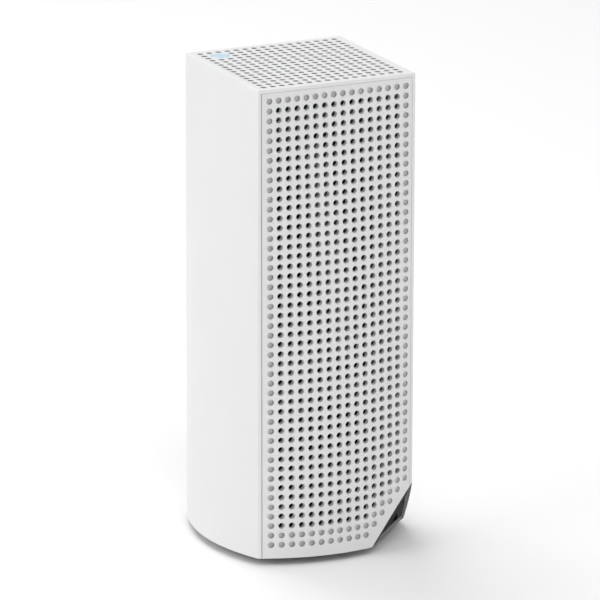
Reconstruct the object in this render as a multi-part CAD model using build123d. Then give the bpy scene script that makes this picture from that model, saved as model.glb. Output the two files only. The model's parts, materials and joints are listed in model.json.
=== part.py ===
from build123d import *
import math
import os

# Tabletop mesh wifi node: a perforated tower with a clipped cable corner.
# Millimetres, +Z up. The origin is the centre of the resting plane, under the
# rubber foot. -Y is the perforated front, -X (left) and +X (right) are the
# smooth sides, and the clipped corner is at the front right foot.

os.makedirs("parts", exist_ok=True)

# ---------------------------------------------------------------- dimensions
PITCH = 3.72                   # hole pitch of every perforation
HALF = 8.65 * PITCH            # half side of the square top
BODY_H = 48.53 * PITCH         # shell height
FOOT_T = 3.0                   # rubber foot thickness
Z0 = FOOT_T                    # shell bottom
Z1 = FOOT_T + BODY_H           # shell top

# side bulge: BULGE_LINEAR*t + BULGE_SQUARE*t^2, t from 0 (top) to 1 (bottom)
BULGE_LINEAR = 3.10 * PITCH
BULGE_SQUARE = -1.07 * PITCH

WALL = 2.0                     # sleeve wall
TOP_T = 2.0                    # perforated top thickness
INNER_HALF = HALF - WALL       # half side of the sleeve's cavity at the top
PANEL_T = 2.05                 # vent panel skin
SEAM_X = 30.90                 # half width of the sleeve's front opening
SEAM_TOP = 1.40                # shell strip above the vent panel
PANEL_LEFT = 30.62             # panel's left edge, with a visible gap
PANEL_RIGHT = 30.80            # panel's right edge, closer to the sleeve
PANEL_GAP_TOP = 0.08

HOLE_R = 1.16                  # perforation radius
DIMPLE = 1.15                  # depth of the blind perforations
COLS = 16                      # holes across
ROWS = 47                      # holes down the vent face
ROW_0 = 1.21 * PITCH           # first row below the top edge
ROW_PITCH = 0.9974 * PITCH     # row pitch down the face
GRID_X = 0.35                  # the vent grid sits towards the right

NOTCH_D = 13.7 * PITCH         # corner cut: x - y - NOTCH_S*h > NOTCH_D
NOTCH_S = 0.634                # h is the height above the shell's bottom edge

LENS_R = 3.30                  # status light
LENS_XY = (-6.0 * PITCH, 6.0 * PITCH)

PLATE_T = 3.0                  # base plate thickness
WELL_WALL = 1.8                # port well
WELL_LEFT = -18.0              # its outer left and back faces
WELL_BACK = 18.0
WELL_GAP = 0.35                # play between well and sleeve
WELL_Z0 = Z0 + PLATE_T
ROOF_Z = 39.2                  # underside of the port well's roof
ROOF_T = 1.8
WELL_Z1 = ROOF_Z + ROOF_T
MOUTH_Z = ROOF_Z + 0.2         # mouths of the jacks

PORT_BOARD_Z = 60.0            # port board underside
PORT_BOARD_TOP = PORT_BOARD_Z + 1.6

MB_Y = 3.2                     # main board front face
MB_BACK = MB_Y + 1.6           # main board back face
MB_HALF = 26.5
MB_Z0, MB_Z1 = 68.0, 168.0

FRAME_HALF = 29.55             # chassis half width, also its back
FRAME_FRONT = -27.5
DECK_Z = 63.6                  # undersides of the two decks
TOPDECK_Z = 170.0
DECK_T = 2.0
BACK_WALL_Y = 26.6             # inner face of the chassis back wall
SIDE_WALL_X = 27.6             # inner faces of the chassis side walls

# places in plan of the controls, jacks and screws
JACKS = [(-7.0, 8.25), (11.0, 8.25)]
JACK_SIZE = (16.0, 13.4)
POWER = (-8.0, -7.0)
POWER_SIZE = (9.0, 11.0)
ROCKER = (6.0, -8.5)
ROCKER_SIZE = (15.0, 9.6)      # rocker housing, along x and y
RESET = (-9.0, -18.5)
RESET_R = 2.2
BASE_SCREWS = [(-22.0, -22.0), (-22.0, 22.0), (22.0, 22.0)]
PORT_SCREWS = [(-19.5, 18.5), (22.5, 18.5), (-19.5, -22.5), (22.5, -22.5)]
SINK_SCREWS = [(-20.5, 79.0), (20.5, 79.0), (-20.5, 155.0), (20.5, 155.0)]  # x, z


# ------------------------------------------------------------------- helpers
def box(x0, x1, y0, y1, z0, z1):
    """Box between two faces per axis, given in either order."""
    centre = Pos((x0 + x1) / 2, (y0 + y1) / 2, (z0 + z1) / 2)
    return centre * Box(abs(x1 - x0), abs(y1 - y0), abs(z1 - z0))


def block(centre, size, z0, z1, grow=0.0):
    """Box about a plan centre, grown by a margin on its four sides."""
    x, y = centre
    half_x = size[0] / 2 + grow
    half_y = size[1] / 2 + grow
    return box(x - half_x, x + half_x, y - half_y, y + half_y, z0, z1)


def rod_z(x, y, z0, z1, r):
    return Solid.make_cylinder(r, z1 - z0, Plane((x, y, z0), z_dir=(0, 0, 1)))


def rod_y(x, z, y0, y1, r):
    return Solid.make_cylinder(
        r, y1 - y0, Plane((x, y0, z), x_dir=(1, 0, 0), z_dir=(0, 1, 0))
    )


def slab(outline, z0, z1):
    """Straight prism over a plan outline."""
    return extrude(Pos(0, 0, z0) * outline, z1 - z0, dir=(0, 0, 1))


def prism(plane, points, thickness):
    """Prism along the plane's normal over a closed run of points."""
    with BuildPart() as bar:
        with BuildSketch(plane):
            with BuildLine():
                Polyline(*points)
            make_face()
        extrude(amount=thickness)
    return bar.part


def rounded(x0, x1, y0, y1, r):
    return Pos((x0 + x1) / 2, (y0 + y1) / 2) * RectangleRounded(x1 - x0, y1 - y0, r)


def bulge(z):
    """How far a side stands proud of its chord at height z."""
    t = (Z1 - z) / BODY_H
    return BULGE_LINEAR * t + BULGE_SQUARE * t * t


def tower(half, z_hi, z_lo):
    """Closed square tower whose four sides swell towards the bottom.

    Every side is one biquadratic patch: straight corner edges, a parabola in
    plan and a parabola in height.
    """
    t0 = (Z1 - z_hi) / BODY_H
    t1 = (Z1 - z_lo) / BODY_H
    swell = [
        bulge(z_hi),
        BULGE_LINEAR * (t0 + t1) / 2 + BULGE_SQUARE * t0 * t1,
        bulge(z_lo),
    ]
    heights = [z_hi, (z_hi + z_lo) / 2, z_lo]

    def turn(x, y, z, quarters):
        for _ in range(quarters):
            x, y = -y, x
        return (x, y, z)

    sides = []
    caps = {0: [], 2: []}      # rim edges: grid row 0 is the top, row 2 the bottom
    for k in range(4):
        grid = []
        for i in range(3):
            row = []
            for j, x in enumerate((-half, 0.0, half)):
                out = half + (2 * swell[i] if j == 1 else 0.0)
                row.append(turn(x, -out, heights[i], k))
            grid.append(row)
        sides.append(Face.make_bezier_surface(grid))
        for i in (0, 2):
            caps[i].append(Edge.make_bezier(*grid[i]))
    lids = [Face(Wire(caps[i])) for i in (0, 2)]
    return Solid(Shell(sides + lids))


def notch_tool():
    """Thick block beyond the slanted corner cut."""
    plane = Plane(origin=(NOTCH_D / 2, -NOTCH_D / 2, Z0), z_dir=(1, -1, -NOTCH_S))
    return plane * Box(160, 160, 80, align=(Align.CENTER, Align.CENTER, Align.MIN))


def save(name, *shapes):
    """Write one piece; several shapes go out together as a compound."""
    shape = shapes[0] if len(shapes) == 1 else Compound(list(shapes))
    export_step(shape, f"parts/{name}.step")


NOTCH = notch_tool()
OUTER = tower(HALF, Z1, Z0)


# ------------------------------------------------------------- outer housing
def sleeve():
    """Left, back and right walls with the perforated top, in one moulding."""
    shell = OUTER - tower(INNER_HALF, Z1 - TOP_T, Z0 - 6)
    shell = shell - box(-SEAM_X, SEAM_X, -60, -29.9, Z0 - 10, Z1 - SEAM_TOP)
    shell = shell - NOTCH
    mid = (COLS - 1) / 2
    holes = []
    for i in range(COLS):
        for j in range(COLS):
            # the status light takes the place of four holes
            if i in (1, 2) and j in (1, 2):
                continue
            x = (i - mid) * PITCH
            y = (mid - j) * PITCH
            holes.append(rod_z(x, y, Z1 - TOP_T - 1, Z1 + 1, HOLE_R))
    holes.append(rod_z(*LENS_XY, Z1 - TOP_T - 1, Z1 + 1, LENS_R + 0.06))
    return shell - holes


def vent_holes():
    """Vent face perforations; those over the solid border stop short."""
    holes = []
    for i in range(COLS):
        x = GRID_X + (i - (COLS - 1) / 2) * PITCH
        rows = ROWS - max(0, i - 10)    # columns shorten above the corner cut
        for j in range(rows):
            z = Z1 - ROW_0 - j * ROW_PITCH
            face_y = -(HALF + bulge(z) * (1 - (x / HALF) ** 2))
            blind = j == 0 or i in (0, COLS - 1) or j >= rows - 2
            end_y = face_y + DIMPLE if blind else -26.0
            holes.append(rod_y(x, z, face_y - 3, end_y, HOLE_R))
    return holes


def vent_panel():
    """Perforated front skin with tabs behind its edges."""
    inner = tower(HALF - PANEL_T, Z1 - SEAM_TOP, Z0 - 6)
    panel_top = Z1 - SEAM_TOP - PANEL_GAP_TOP
    panel = (OUTER - inner) & box(-PANEL_LEFT, PANEL_RIGHT, -60, -30.1, Z0, panel_top)
    for z in (24.0, 66.0, 108.0, 150.0):
        tab_y = -(30.6 + 0.42 * bulge(z))
        for side in (-1, 1):
            # no bottom right tab: the corner is cut there
            if z < 30 and side > 0:
                continue
            panel = panel + box(side * 23.0, side * 26.5, tab_y, -28.4, z - 3, z + 3)
    panel = panel - NOTCH
    return panel - vent_holes()


def light_pipe():
    """Clear light pipe with a retaining flange under the top."""
    under_top = Z1 - TOP_T
    pipe = (
        rod_z(*LENS_XY, TOPDECK_Z + 5.6, Z1 + 0.10, LENS_R)
        + rod_z(*LENS_XY, under_top - 1.2, under_top, LENS_R + 0.9)
    )
    return chamfer(pipe.edges().filter_by(GeomType.CIRCLE).group_by(Axis.Z)[-1], 0.1)


save("sleeve", sleeve())
save("vent_panel", vent_panel())
save("light_pipe", light_pipe())


# ------------------------------------------------------------------ the base
def access_outline(grow, radius, clip):
    """Rounded access opening with its front right corner clipped."""
    corners = (-30, 30), (-30, -30), (clip, -30), (30, -clip), (30, 30)
    return (
        rounded(-16.0 - grow, 22.0 + grow, -22.0 - grow, 16.0 + grow, radius)
        & Polygon(*corners, align=None)
    )


def base_plate():
    """Closes the shell's underside and frames the access opening."""
    opening = access_outline(grow=0.0, radius=4.0, clip=8.0)
    plate = tower(INNER_HALF - 0.15, Z0 + PLATE_T, Z0)
    plate = plate - slab(opening, Z0 - 1, Z0 + PLATE_T + 1) - NOTCH
    for x, y in BASE_SCREWS:
        plate = plate - rod_z(x, y, Z0 - 1, Z0 + 5, 1.7)
        plate = plate - rod_z(x, y, Z0 - 1, Z0 + 1.6, 2.9)
    return plate


def rubber_foot():
    """Ring under the base plate, around the access opening."""
    opening = access_outline(grow=0.8, radius=4.6, clip=8.6)
    foot = slab(rounded(-26.5, 26.5, -26.5, 26.5, 9.0), 0, FOOT_T)
    foot = foot - slab(opening, -1, FOOT_T + 1)
    return chamfer(foot.faces().sort_by(Axis.Z)[0].outer_wire().edges(), 0.5)


def port_well():
    """Cup that opens downwards and out of the clipped corner."""
    half = INNER_HALF - WELL_GAP
    well = tower(half, WELL_Z1, WELL_Z0) & box(
        WELL_LEFT, 60, -60, WELL_BACK, WELL_Z0, WELL_Z1
    )
    well = well - (
        tower(half - WELL_WALL, ROOF_Z, WELL_Z0 - 2)
        & box(WELL_LEFT + WELL_WALL, 60, -60, WELL_BACK - WELL_WALL, WELL_Z0 - 2, ROOF_Z)
    )
    well = well - NOTCH
    # roof openings: centre, size, play
    for centre, size, gap in (
        (JACKS[0], JACK_SIZE, 0.2),
        (JACKS[1], JACK_SIZE, 0.2),
        (POWER, POWER_SIZE, 0.2),
        (ROCKER, ROCKER_SIZE, 0.1),
    ):
        well = well - block(centre, size, ROOF_Z - 1, WELL_Z1 + 1, gap)
    # guide collar for the reset button
    well = well + rod_z(*RESET, WELL_Z1 - 0.5, WELL_Z1 + 3.0, RESET_R + 1.3)
    return well - rod_z(*RESET, ROOF_Z - 1, WELL_Z1 + 4.0, RESET_R + 0.08)


save("base_plate", base_plate())
save("rubber_foot", rubber_foot())
save("port_well", port_well())

# --------------------------------------------------------------------- ports
CAVITY_FRONT = -2.9            # plug cavity's front wall from the jack's centre
CAVITY_D = 7.1
CAVITY_H = 14.5


def ethernet_jack(x, y):
    """Top-entry modular jack, mouth down. The latch side faces -Y."""
    z0 = MOUTH_Z
    front = y + CAVITY_FRONT
    body = block((x, y), JACK_SIZE, z0, PORT_BOARD_Z)
    # cavity, then two steps for the latch: half width, y0, y1, height
    for half, y0, y1, height in (
        (5.95, front, front + CAVITY_D, CAVITY_H),
        (3.15, front - 1.5, front + 0.1, CAVITY_H),
        (2.0, front - 2.7, front - 1.4, 9.0),
    ):
        body = body - box(x - half, x + half, y0, y1, z0 - 1, z0 + height)
    # light windows beside the latch
    for side in (-1, 1):
        body = body - box(
            x + side * 4.2, x + side * 7.0, y - 5.9, y - 4.1, z0 - 1, z0 + 0.6
        )
    return body


def jack_contacts(x, y):
    """Eight sprung contacts slanting out of the jack's back wall."""
    wall = y + CAVITY_FRONT + CAVITY_D
    # side profile: distance in front of the wall, height above the mouth
    profile = [
        (0, 2.2), (0, 2.7), (2.4, 12.0), (2.4, CAVITY_H),
        (2.8, CAVITY_H), (2.8, 11.9), (0.3, 2.2), (0, 2.2),
    ]
    points = [(wall - reach, MOUTH_Z + height) for reach, height in profile]
    width = 0.4
    return [
        prism(Plane.YZ.offset(x + (k - 3.5) * 1.02 - width / 2), points, width).solids()[0]
        for k in range(8)
    ]


SOCKET_TOP = MOUTH_Z + 11.0    # blind end of the power jack's bore


def power_jack():
    """Barrel power jack, mouth down."""
    body = block(POWER, POWER_SIZE, MOUTH_Z, PORT_BOARD_Z)
    return body - rod_z(*POWER, ROOF_Z - 1, SOCKET_TOP, 3.2)


def power_jack_pin():
    pin = rod_z(*POWER, ROOF_Z + 1.6, SOCKET_TOP, 1.0)
    return fillet(pin.edges().group_by(Axis.Z)[0], 0.45)


save("ethernet_jack_a", ethernet_jack(*JACKS[0]))
save("ethernet_jack_b", ethernet_jack(*JACKS[1]))
save("ethernet_contacts", *jack_contacts(*JACKS[0]), *jack_contacts(*JACKS[1]))
save("power_jack", power_jack())
save("power_jack_pin", power_jack_pin())

# ------------------------------------------------------------------ controls
PIVOT_Z = ROOF_Z + 2.2
PIVOT_R = 0.9
ROCK_DEG = 7.0                 # half of the throw
ROCKER_W, ROCKER_D = 12.4, 6.4     # moving rocker, along x and y
HOUSING_Z0 = ROOF_Z - 0.8
HOUSING_Z1 = ROOF_Z + 12.5


def rocker_housing():
    """Housing set in the roof, with a bezel below and two pivot sockets."""
    x, y = ROCKER
    half_x = ROCKER_SIZE[0] / 2 + 1.2
    half_y = ROCKER_SIZE[1] / 2 + 1.2
    socket_y = ROCKER_D / 2 + 1.05
    bezel = rounded(x - half_x, x + half_x, y - half_y, y + half_y, 1.2)
    housing = block(ROCKER, ROCKER_SIZE, HOUSING_Z0, HOUSING_Z1)
    housing = housing + slab(bezel, HOUSING_Z0, ROOF_Z)
    pocket = (ROCKER_W + 1.0, ROCKER_D + 0.5)
    housing = housing - block(ROCKER, pocket, ROOF_Z - 3, ROOF_Z + 10.7)
    return housing - rod_y(x, PIVOT_Z, y - socket_y, y + socket_y, PIVOT_R + 0.06)


def power_rocker():
    """Two flat pads in a shallow vee, a narrow leg above, two stub pivots."""
    half = ROCKER_W / 2
    vee = math.tan(math.radians(ROCK_DEG)) * half
    # side profile about the pivot: x, z
    profile = [
        (-half + 0.15, -3.2), (0.0, -3.2 + vee), (half - 0.15, -3.2),
        (half, -2.4), (half - 0.6, 1.2), (2.2, 2.4), (0.9, 6.0),
        (-0.9, 6.0), (-2.2, 2.4), (-half + 0.6, 1.2), (-half, -2.4),
        (-half + 0.15, -3.2),
    ]
    rocker = prism(Plane.XZ.offset(-ROCKER_D / 2), profile, ROCKER_D)
    stub_y = ROCKER_D / 2 + 0.9
    rocker = rocker + rod_y(0, 0, -stub_y, stub_y, PIVOT_R)
    # rest pose: the rocker lies at one end of its throw
    return Pos(*ROCKER, PIVOT_Z) * (Rot(0, -ROCK_DEG, 0) * rocker)


def rocker_terminals():
    """Two blades from the rocker housing up to the port board."""
    x, y = ROCKER
    return [
        block((x + dx, y), (0.8, 4.4), HOUSING_Z1, PORT_BOARD_Z) for dx in (-5.0, 5.0)
    ]


STEM_TOP = 54.0                # top of the reset button's stem


def reset_button():
    """Button guided by the roof, with a flange above the collar and a stem."""
    button = rod_z(*RESET, ROOF_Z - 0.6, WELL_Z1 + 3.6, RESET_R)
    button = button + rod_z(*RESET, WELL_Z1 + 3.05, WELL_Z1 + 4.1, RESET_R + 0.9)
    button = button + rod_z(*RESET, WELL_Z1 + 4.1, STEM_TOP, 1.5)
    return fillet(
        button.edges().filter_by(GeomType.CIRCLE).group_by(Axis.Z)[0], 0.35
    )


def reset_switch():
    body = block(RESET, (6, 6), 55.8, PORT_BOARD_Z)
    return body - rod_z(*RESET, 55.0, 58.6, 1.26)


save("rocker_housing", rocker_housing())
save("power_rocker", power_rocker())
save("rocker_terminals", *rocker_terminals())
save("reset_button", reset_button())
save("reset_plunger", rod_z(*RESET, STEM_TOP, 57.2, 1.2))
save("reset_switch", reset_switch())


# ---------------------------------------------------------------- port board
def port_board():
    """Horizontal board with the jacks hanging from it."""
    board = box(-22.0, 25.0, -25.0, 21.0, PORT_BOARD_Z, PORT_BOARD_TOP)
    for x, y in PORT_SCREWS:
        board = board - rod_z(x, y, PORT_BOARD_Z - 1, PORT_BOARD_Z + 3, 1.4)
    return board


save("port_board", port_board())
save("line_transformers", *[
    block((x, -12.0), (13.0, 9.2), PORT_BOARD_TOP, PORT_BOARD_TOP + 4.0)
    for x in (-9.0, 9.0)
])
save("filter_capacitors", *[
    rod_z(x, 9.0, PORT_BOARD_TOP, PORT_BOARD_TOP + 9.0, 3.1) for x in (-12.0, -4.5, 3.0)
])


# --------------------------------------------------------------- the chassis
def corner_posts():
    """Flat posts in front, L-shaped posts at the back."""
    posts = []
    top = TOPDECK_Z + 1
    # side, bottom; the front right post starts above the corner cut
    for side, z0 in ((-1, WELL_Z0), (1, 43.0)):
        outer, inner = side * FRAME_HALF, side * (FRAME_HALF - 2.0)
        posts.append(box(outer, inner, FRAME_FRONT, -20.5, z0, top))
    for side in (-1, 1):
        outer, inner = side * FRAME_HALF, side * (FRAME_HALF - 2.0)
        posts.append(box(outer, inner, 22.5, FRAME_HALF, WELL_Z0, top))
        posts.append(box(
            outer, side * (FRAME_HALF - 7.0), FRAME_HALF - 2.0, FRAME_HALF, WELL_Z0, top
        ))
    return posts


def deck(z, openings):
    """Full-width deck with rectangular openings: x0, x1, y0, y1."""
    plate = box(-FRAME_HALF, FRAME_HALF, FRAME_FRONT, FRAME_HALF, z, z + DECK_T)
    for opening in openings:
        plate = plate - box(*opening, z - 1, z + DECK_T + 1)
    return plate


def side_wall(side):
    wall = box(
        side * SIDE_WALL_X, side * (SIDE_WALL_X + 1.6), 0.0, 24.0,
        DECK_Z + 1, TOPDECK_Z + 1,
    )
    for z in (76.0, 94.0):
        wall = wall - box(
            side * (SIDE_WALL_X - 1), side * (SIDE_WALL_X + 2.6), 10, 20, z, z + 12
        )
    return wall


def board_rail(side):
    """Upright rail with a slot for the main board's edge."""
    rail = box(side * 24.4, side * 28.0, 0.8, 7.2, DECK_Z + 1, TOPDECK_Z - 0.5)
    return rail - box(
        side * 20.0, side * (MB_HALF + 0.2), MB_Y - 0.05, MB_BACK + 0.05,
        MB_Z0 - 0.1, MB_Z1 + 0.1,
    )


def chassis_frame():
    """Moulded skeleton: posts, two decks, three walls and screw bosses."""
    frame = (
        deck(DECK_Z, [(-15.5, 18.5, -18.5, 14.5)])
        + deck(TOPDECK_Z, [(-22, 22, -23, 9.5), (-9, 22, 11.5, 24.5)])
    )
    back_wall = box(
        -FRAME_HALF + 1, FRAME_HALF - 1, BACK_WALL_Y, BACK_WALL_Y + 1.6,
        DECK_Z + 1, TOPDECK_Z + 1,
    )
    for z in (88.0, 128.0, 150.0):
        back_wall = back_wall - box(-8, 8, 20, 30, z, z + 14)
    frame = frame + back_wall
    for side in (-1, 1):
        frame = frame + side_wall(side) + board_rail(side)
    for post in corner_posts():
        frame = frame + post

    # bosses for the base screws, each ribbed out to the nearer side
    boss_top = 22.0
    for x, y in BASE_SCREWS:
        frame = frame + rod_z(x, y, WELL_Z0, boss_top, 3.3)
        rib_end = math.copysign(FRAME_HALF, x)
        frame = frame + box(x, rib_end, y - 1.0, y + 1.0, WELL_Z0, boss_top)
    for x, y in PORT_SCREWS:
        frame = frame + rod_z(x, y, PORT_BOARD_TOP, DECK_Z + 1, 2.8)
    for x, y in BASE_SCREWS:
        frame = frame - rod_z(x, y, WELL_Z0 - 1, 18.0, 1.45)
    for x, y in PORT_SCREWS:
        frame = frame - rod_z(x, y, PORT_BOARD_Z, DECK_Z + 4, 1.25)
    return frame


def screw_z(x, y, z, length, r, head_r, head_h):
    """Pan-head screw standing up from its head, which starts at z."""
    shank = rod_z(x, y, z, z + head_h + length, r)
    head = rod_z(x, y, z, z + head_h, head_r)
    head = fillet(head.edges().group_by(Axis.Z)[0], 0.3)
    screw = head + shank
    # cross recess
    slot = head_r * 1.1
    for size in ((slot, 0.6), (0.6, slot)):
        screw = screw - block((x, y), size, z - 1, z + head_h * 0.55)
    return screw.solids()[0]


save("chassis_frame", chassis_frame())
save("base_screws", *[
    screw_z(x, y, Z0 + 0.1, length=12.0, r=1.4, head_r=2.7, head_h=1.5)
    for x, y in BASE_SCREWS
])
save("port_board_screws", *[
    screw_z(x, y, PORT_BOARD_Z - 1.4, length=5.6, r=1.2, head_r=2.4, head_h=1.4)
    for x, y in PORT_SCREWS
])

# -------------------------------------------------------- boards and cooling
CHIP_Y = MB_Y - 1.2            # front of the chips
SINK_Y = CHIP_Y - 0.5          # the heat sink's flat face, against the pads
SHIELD_Y = MB_BACK + 2.0       # back of the radio shields
SPREADER_Y = SHIELD_Y + 0.5    # the spreader's flat face, against its pads

# footprints on the main board: x0, x1, z0, z1
FRONT_CHIPS = {
    "processor": [(-8, 8, 108, 124)],
    "memory_chips": [(-20, -11, 106, 119), (11, 20, 106, 119)],
    "switch_chip": [(-6, 6, 84, 96)],
    "flash_chip": [(-20, -12, 88, 94)],
}
SHIELDS = [(-17, -1, 84, 104), (1, 17, 84, 104), (-15, 15, 112, 140)]
RADIO_CHIPS = [(-13, -5, 90, 98), (5, 13, 90, 98), (-5, 5, 121, 131)]
SHIELD_PADS = [(-15, -3, 87, 101), (3, 15, 87, 101), (-12, 12, 115, 137)]


def layer(footprints, y0, y1):
    """One box per footprint between two depths."""
    return [box(x0, x1, y0, y1, z0, z1) for x0, x1, z0, z1 in footprints]


def main_board():
    board = box(-MB_HALF, MB_HALF, MB_Y, MB_BACK, MB_Z0, MB_Z1)
    for x, z in SINK_SCREWS:
        board = board - rod_y(x, z, MB_Y - 1, MB_Y + 3, 1.3)
    return board


def heat_sink():
    """Finned sink in front of the main board, on four standoffs."""
    sink = box(-23, 23, SINK_Y - 4.0, SINK_Y, 74, 160)
    for k in range(11):
        x = -21.5 + k * 4.3
        sink = sink + box(x - 0.6, x + 0.6, -23.5, SINK_Y - 3.5, 74, 160)
    for x, z in SINK_SCREWS:
        sink = sink + rod_y(x, z, SINK_Y - 4.0, MB_Y, 2.4)
        sink = sink - rod_y(x, z, SINK_Y - 3.0, MB_Y + 1, 1.25)
    return sink


def shield(x0, x1, z0, z1):
    """Tin can, open towards the board."""
    tin = 0.2
    can = box(x0, x1, MB_BACK, SHIELD_Y, z0, z1)
    can = can - box(x0 + tin, x1 - tin, MB_BACK - 1, SHIELD_Y - tin, z0 + tin, z1 - tin)
    return can.solids()[0]


def heat_spreader():
    """Finned plate behind the main board, on four standoffs."""
    spreader = box(-23, 23, SPREADER_Y, SPREADER_Y + 2.0, 76, 158)
    for k in range(9):
        x = -16.0 + k * 4.0
        spreader = spreader + box(
            x - 0.6, x + 0.6, SPREADER_Y + 1.5, SPREADER_Y + 8.0, 82, 146
        )
    for x, z in SINK_SCREWS:
        spreader = spreader + rod_y(x, z, MB_BACK, SPREADER_Y + 0.5, 2.4)
        spreader = spreader - rod_y(x, z, MB_BACK - 1, SPREADER_Y + 4, 1.3)
    return spreader


def screw_y(x, z, seat, length, r, head_r, head_h):
    """Pan-head screw running towards -Y from a seat."""
    head = rod_y(x, z, seat, seat + head_h, head_r)
    shank = rod_y(x, z, seat - length, seat + 0.5, r)
    screw = head + shank
    # cross recess
    arm = head_r * 0.55
    for half_x, half_z in ((arm, 0.3), (0.3, arm)):
        screw = screw - box(
            x - half_x, x + half_x, seat + head_h * 0.45, seat + head_h + 1,
            z - half_z, z + half_z,
        )
    return screw.solids()[0]


save("main_board", main_board())
save("board_connector", box(-14, 14, MB_Y - 4.4, MB_Y, PORT_BOARD_TOP, 72.0))
for chip_name, footprints in FRONT_CHIPS.items():
    save(chip_name, *layer(footprints, CHIP_Y, MB_Y))
save("thermal_pads", *[
    pad
    for chip_name in ("processor", "memory_chips", "switch_chip")
    for pad in layer(FRONT_CHIPS[chip_name], SINK_Y, CHIP_Y)
])
save("heat_sink", heat_sink())
save("radio_shields", *[shield(*footprint) for footprint in SHIELDS])
save("radio_chips", *layer(RADIO_CHIPS, MB_BACK, MB_BACK + 1.1))
save("shield_pads", *layer(SHIELD_PADS, SHIELD_Y, SPREADER_Y))
save("heat_spreader", heat_spreader())
save("heat_sink_screws", *[
    screw_y(x, z, SPREADER_Y + 2.0, length=9.6, r=1.2, head_r=2.3, head_h=1.4)
    for x, z in SINK_SCREWS
])

# ------------------------------------------------------------------ antennas
ANTENNA_T = 0.8
HIGH_Y = BACK_WALL_Y - ANTENNA_T   # front of the high band antennas
LOW_X = SIDE_WALL_X - ANTENNA_T    # inner face of the low band antennas
SOCKET_Z = 163.0
SOCKET_Y = MB_BACK + 1.4           # back ends of the sockets

# high band leads: socket x, antenna x, antenna z, depth of the run
HIGH_LEADS = [
    (-18.0, -15.0, 150.5, 23.0),
    (-11.0, -15.0, 118.5, 19.8),
    (11.0, 15.0, 118.5, 19.8),
    (18.0, 15.0, 150.5, 23.0),
]
LOW_SOCKET_X = 22.5


def lead(points, r, bend):
    """Round wire along a path with rounded bends."""
    path = FilletPolyline(*points, radius=bend)
    start = Plane(path @ 0, z_dir=path % 0)
    return sweep(start * Circle(r), path=path).solids()[0]


def antenna_leads():
    """Coaxial leads from the main board's back to each antenna."""
    paths = [
        [(x, SOCKET_Y, SOCKET_Z), (x, run_y, SOCKET_Z), (end_x, run_y, end_z),
         (end_x, HIGH_Y, end_z)]
        for x, end_x, end_z, run_y in HIGH_LEADS
    ]
    for side in (-1, 1):
        x = side * LOW_SOCKET_X
        paths.append([
            (x, SOCKET_Y, SOCKET_Z), (x, 15.0, SOCKET_Z), (x, 15.0, 130.0),
            (side * LOW_X, 15.0, 130.0),
        ])
    return [lead(path, r=0.6, bend=1.0) for path in paths]


save("antennas_high_band", *[
    box(x, x + 9.0, HIGH_Y, BACK_WALL_Y, z, z + 18.0)
    for x in (-19.5, 10.5)
    for z in (104.0, 148.0)
])
save("antennas_low_band", *[
    box(side * SIDE_WALL_X, side * LOW_X, 10.0, 22.0, 112.0, 148.0) for side in (-1, 1)
])
save("antenna_sockets", *[
    rod_y(x, SOCKET_Z, MB_BACK, SOCKET_Y, 1.3)
    for x in [row[0] for row in HIGH_LEADS] + [-LOW_SOCKET_X, LOW_SOCKET_X]
])
save("antenna_leads", *antenna_leads())

# ------------------------------------------------------------- status lamp
LED_BOARD_Z = TOPDECK_Z + DECK_T
LED_Z = LED_BOARD_Z + 1.2


def led_wire(x):
    """Wire forward over the LED board, then down through the top deck."""
    z = LED_Z + 0.47
    return lead([(x, 16.2, z), (x, 5.3, z), (x, 5.3, 165.5)], r=0.45, bend=1.2)


save("led_board", box(-28.6, -15.5, 15.5, 27.4, LED_BOARD_Z, LED_Z))
save("status_led", block(LENS_XY, (3.5, 2.8), LED_Z, LED_Z + 1.8))
save("led_wires", *[led_wire(-21.0 + k * 1.6) for k in range(3)])
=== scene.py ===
"""Looks of a white square tower holding network electronics.

It stands on the floor at z = 0 about the z axis: front is -Y, right is +X. A sleeve forms the
left, back and right walls and the perforated top; a perforated vent panel fills the front; a
light pipe shows in the top at the back left. A slanted plane takes off the low front right corner.
Meshes are drawn in millimetres and scaled to metres at the end.
"""
import math
import bpy
import bmesh
from mathutils import Matrix, Vector
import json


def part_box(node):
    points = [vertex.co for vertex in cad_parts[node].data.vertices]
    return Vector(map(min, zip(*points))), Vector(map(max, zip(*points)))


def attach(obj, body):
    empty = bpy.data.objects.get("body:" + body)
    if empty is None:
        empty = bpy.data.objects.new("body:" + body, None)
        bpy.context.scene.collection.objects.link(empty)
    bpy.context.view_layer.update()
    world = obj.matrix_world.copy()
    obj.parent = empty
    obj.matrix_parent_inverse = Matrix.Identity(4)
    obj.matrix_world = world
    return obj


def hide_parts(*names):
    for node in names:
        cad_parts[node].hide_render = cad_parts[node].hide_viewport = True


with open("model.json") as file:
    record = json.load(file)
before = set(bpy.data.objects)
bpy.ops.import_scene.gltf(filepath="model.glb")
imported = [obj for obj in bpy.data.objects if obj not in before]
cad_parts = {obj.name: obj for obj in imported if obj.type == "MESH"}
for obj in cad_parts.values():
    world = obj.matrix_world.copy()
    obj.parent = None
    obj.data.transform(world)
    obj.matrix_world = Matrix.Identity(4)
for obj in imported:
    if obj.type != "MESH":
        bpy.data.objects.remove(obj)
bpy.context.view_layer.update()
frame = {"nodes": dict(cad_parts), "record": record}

# --------------------------------------------------------------------------
# driving dimensions, in millimetres
# --------------------------------------------------------------------------
MM = 0.001                               # one millimetre in metres


def box_mm(node):
    """Low and high corners of a node's box, each (x, y, z) in millimetres."""
    return [tuple(value * 1000.0 for value in corner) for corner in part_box(node)]


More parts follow.
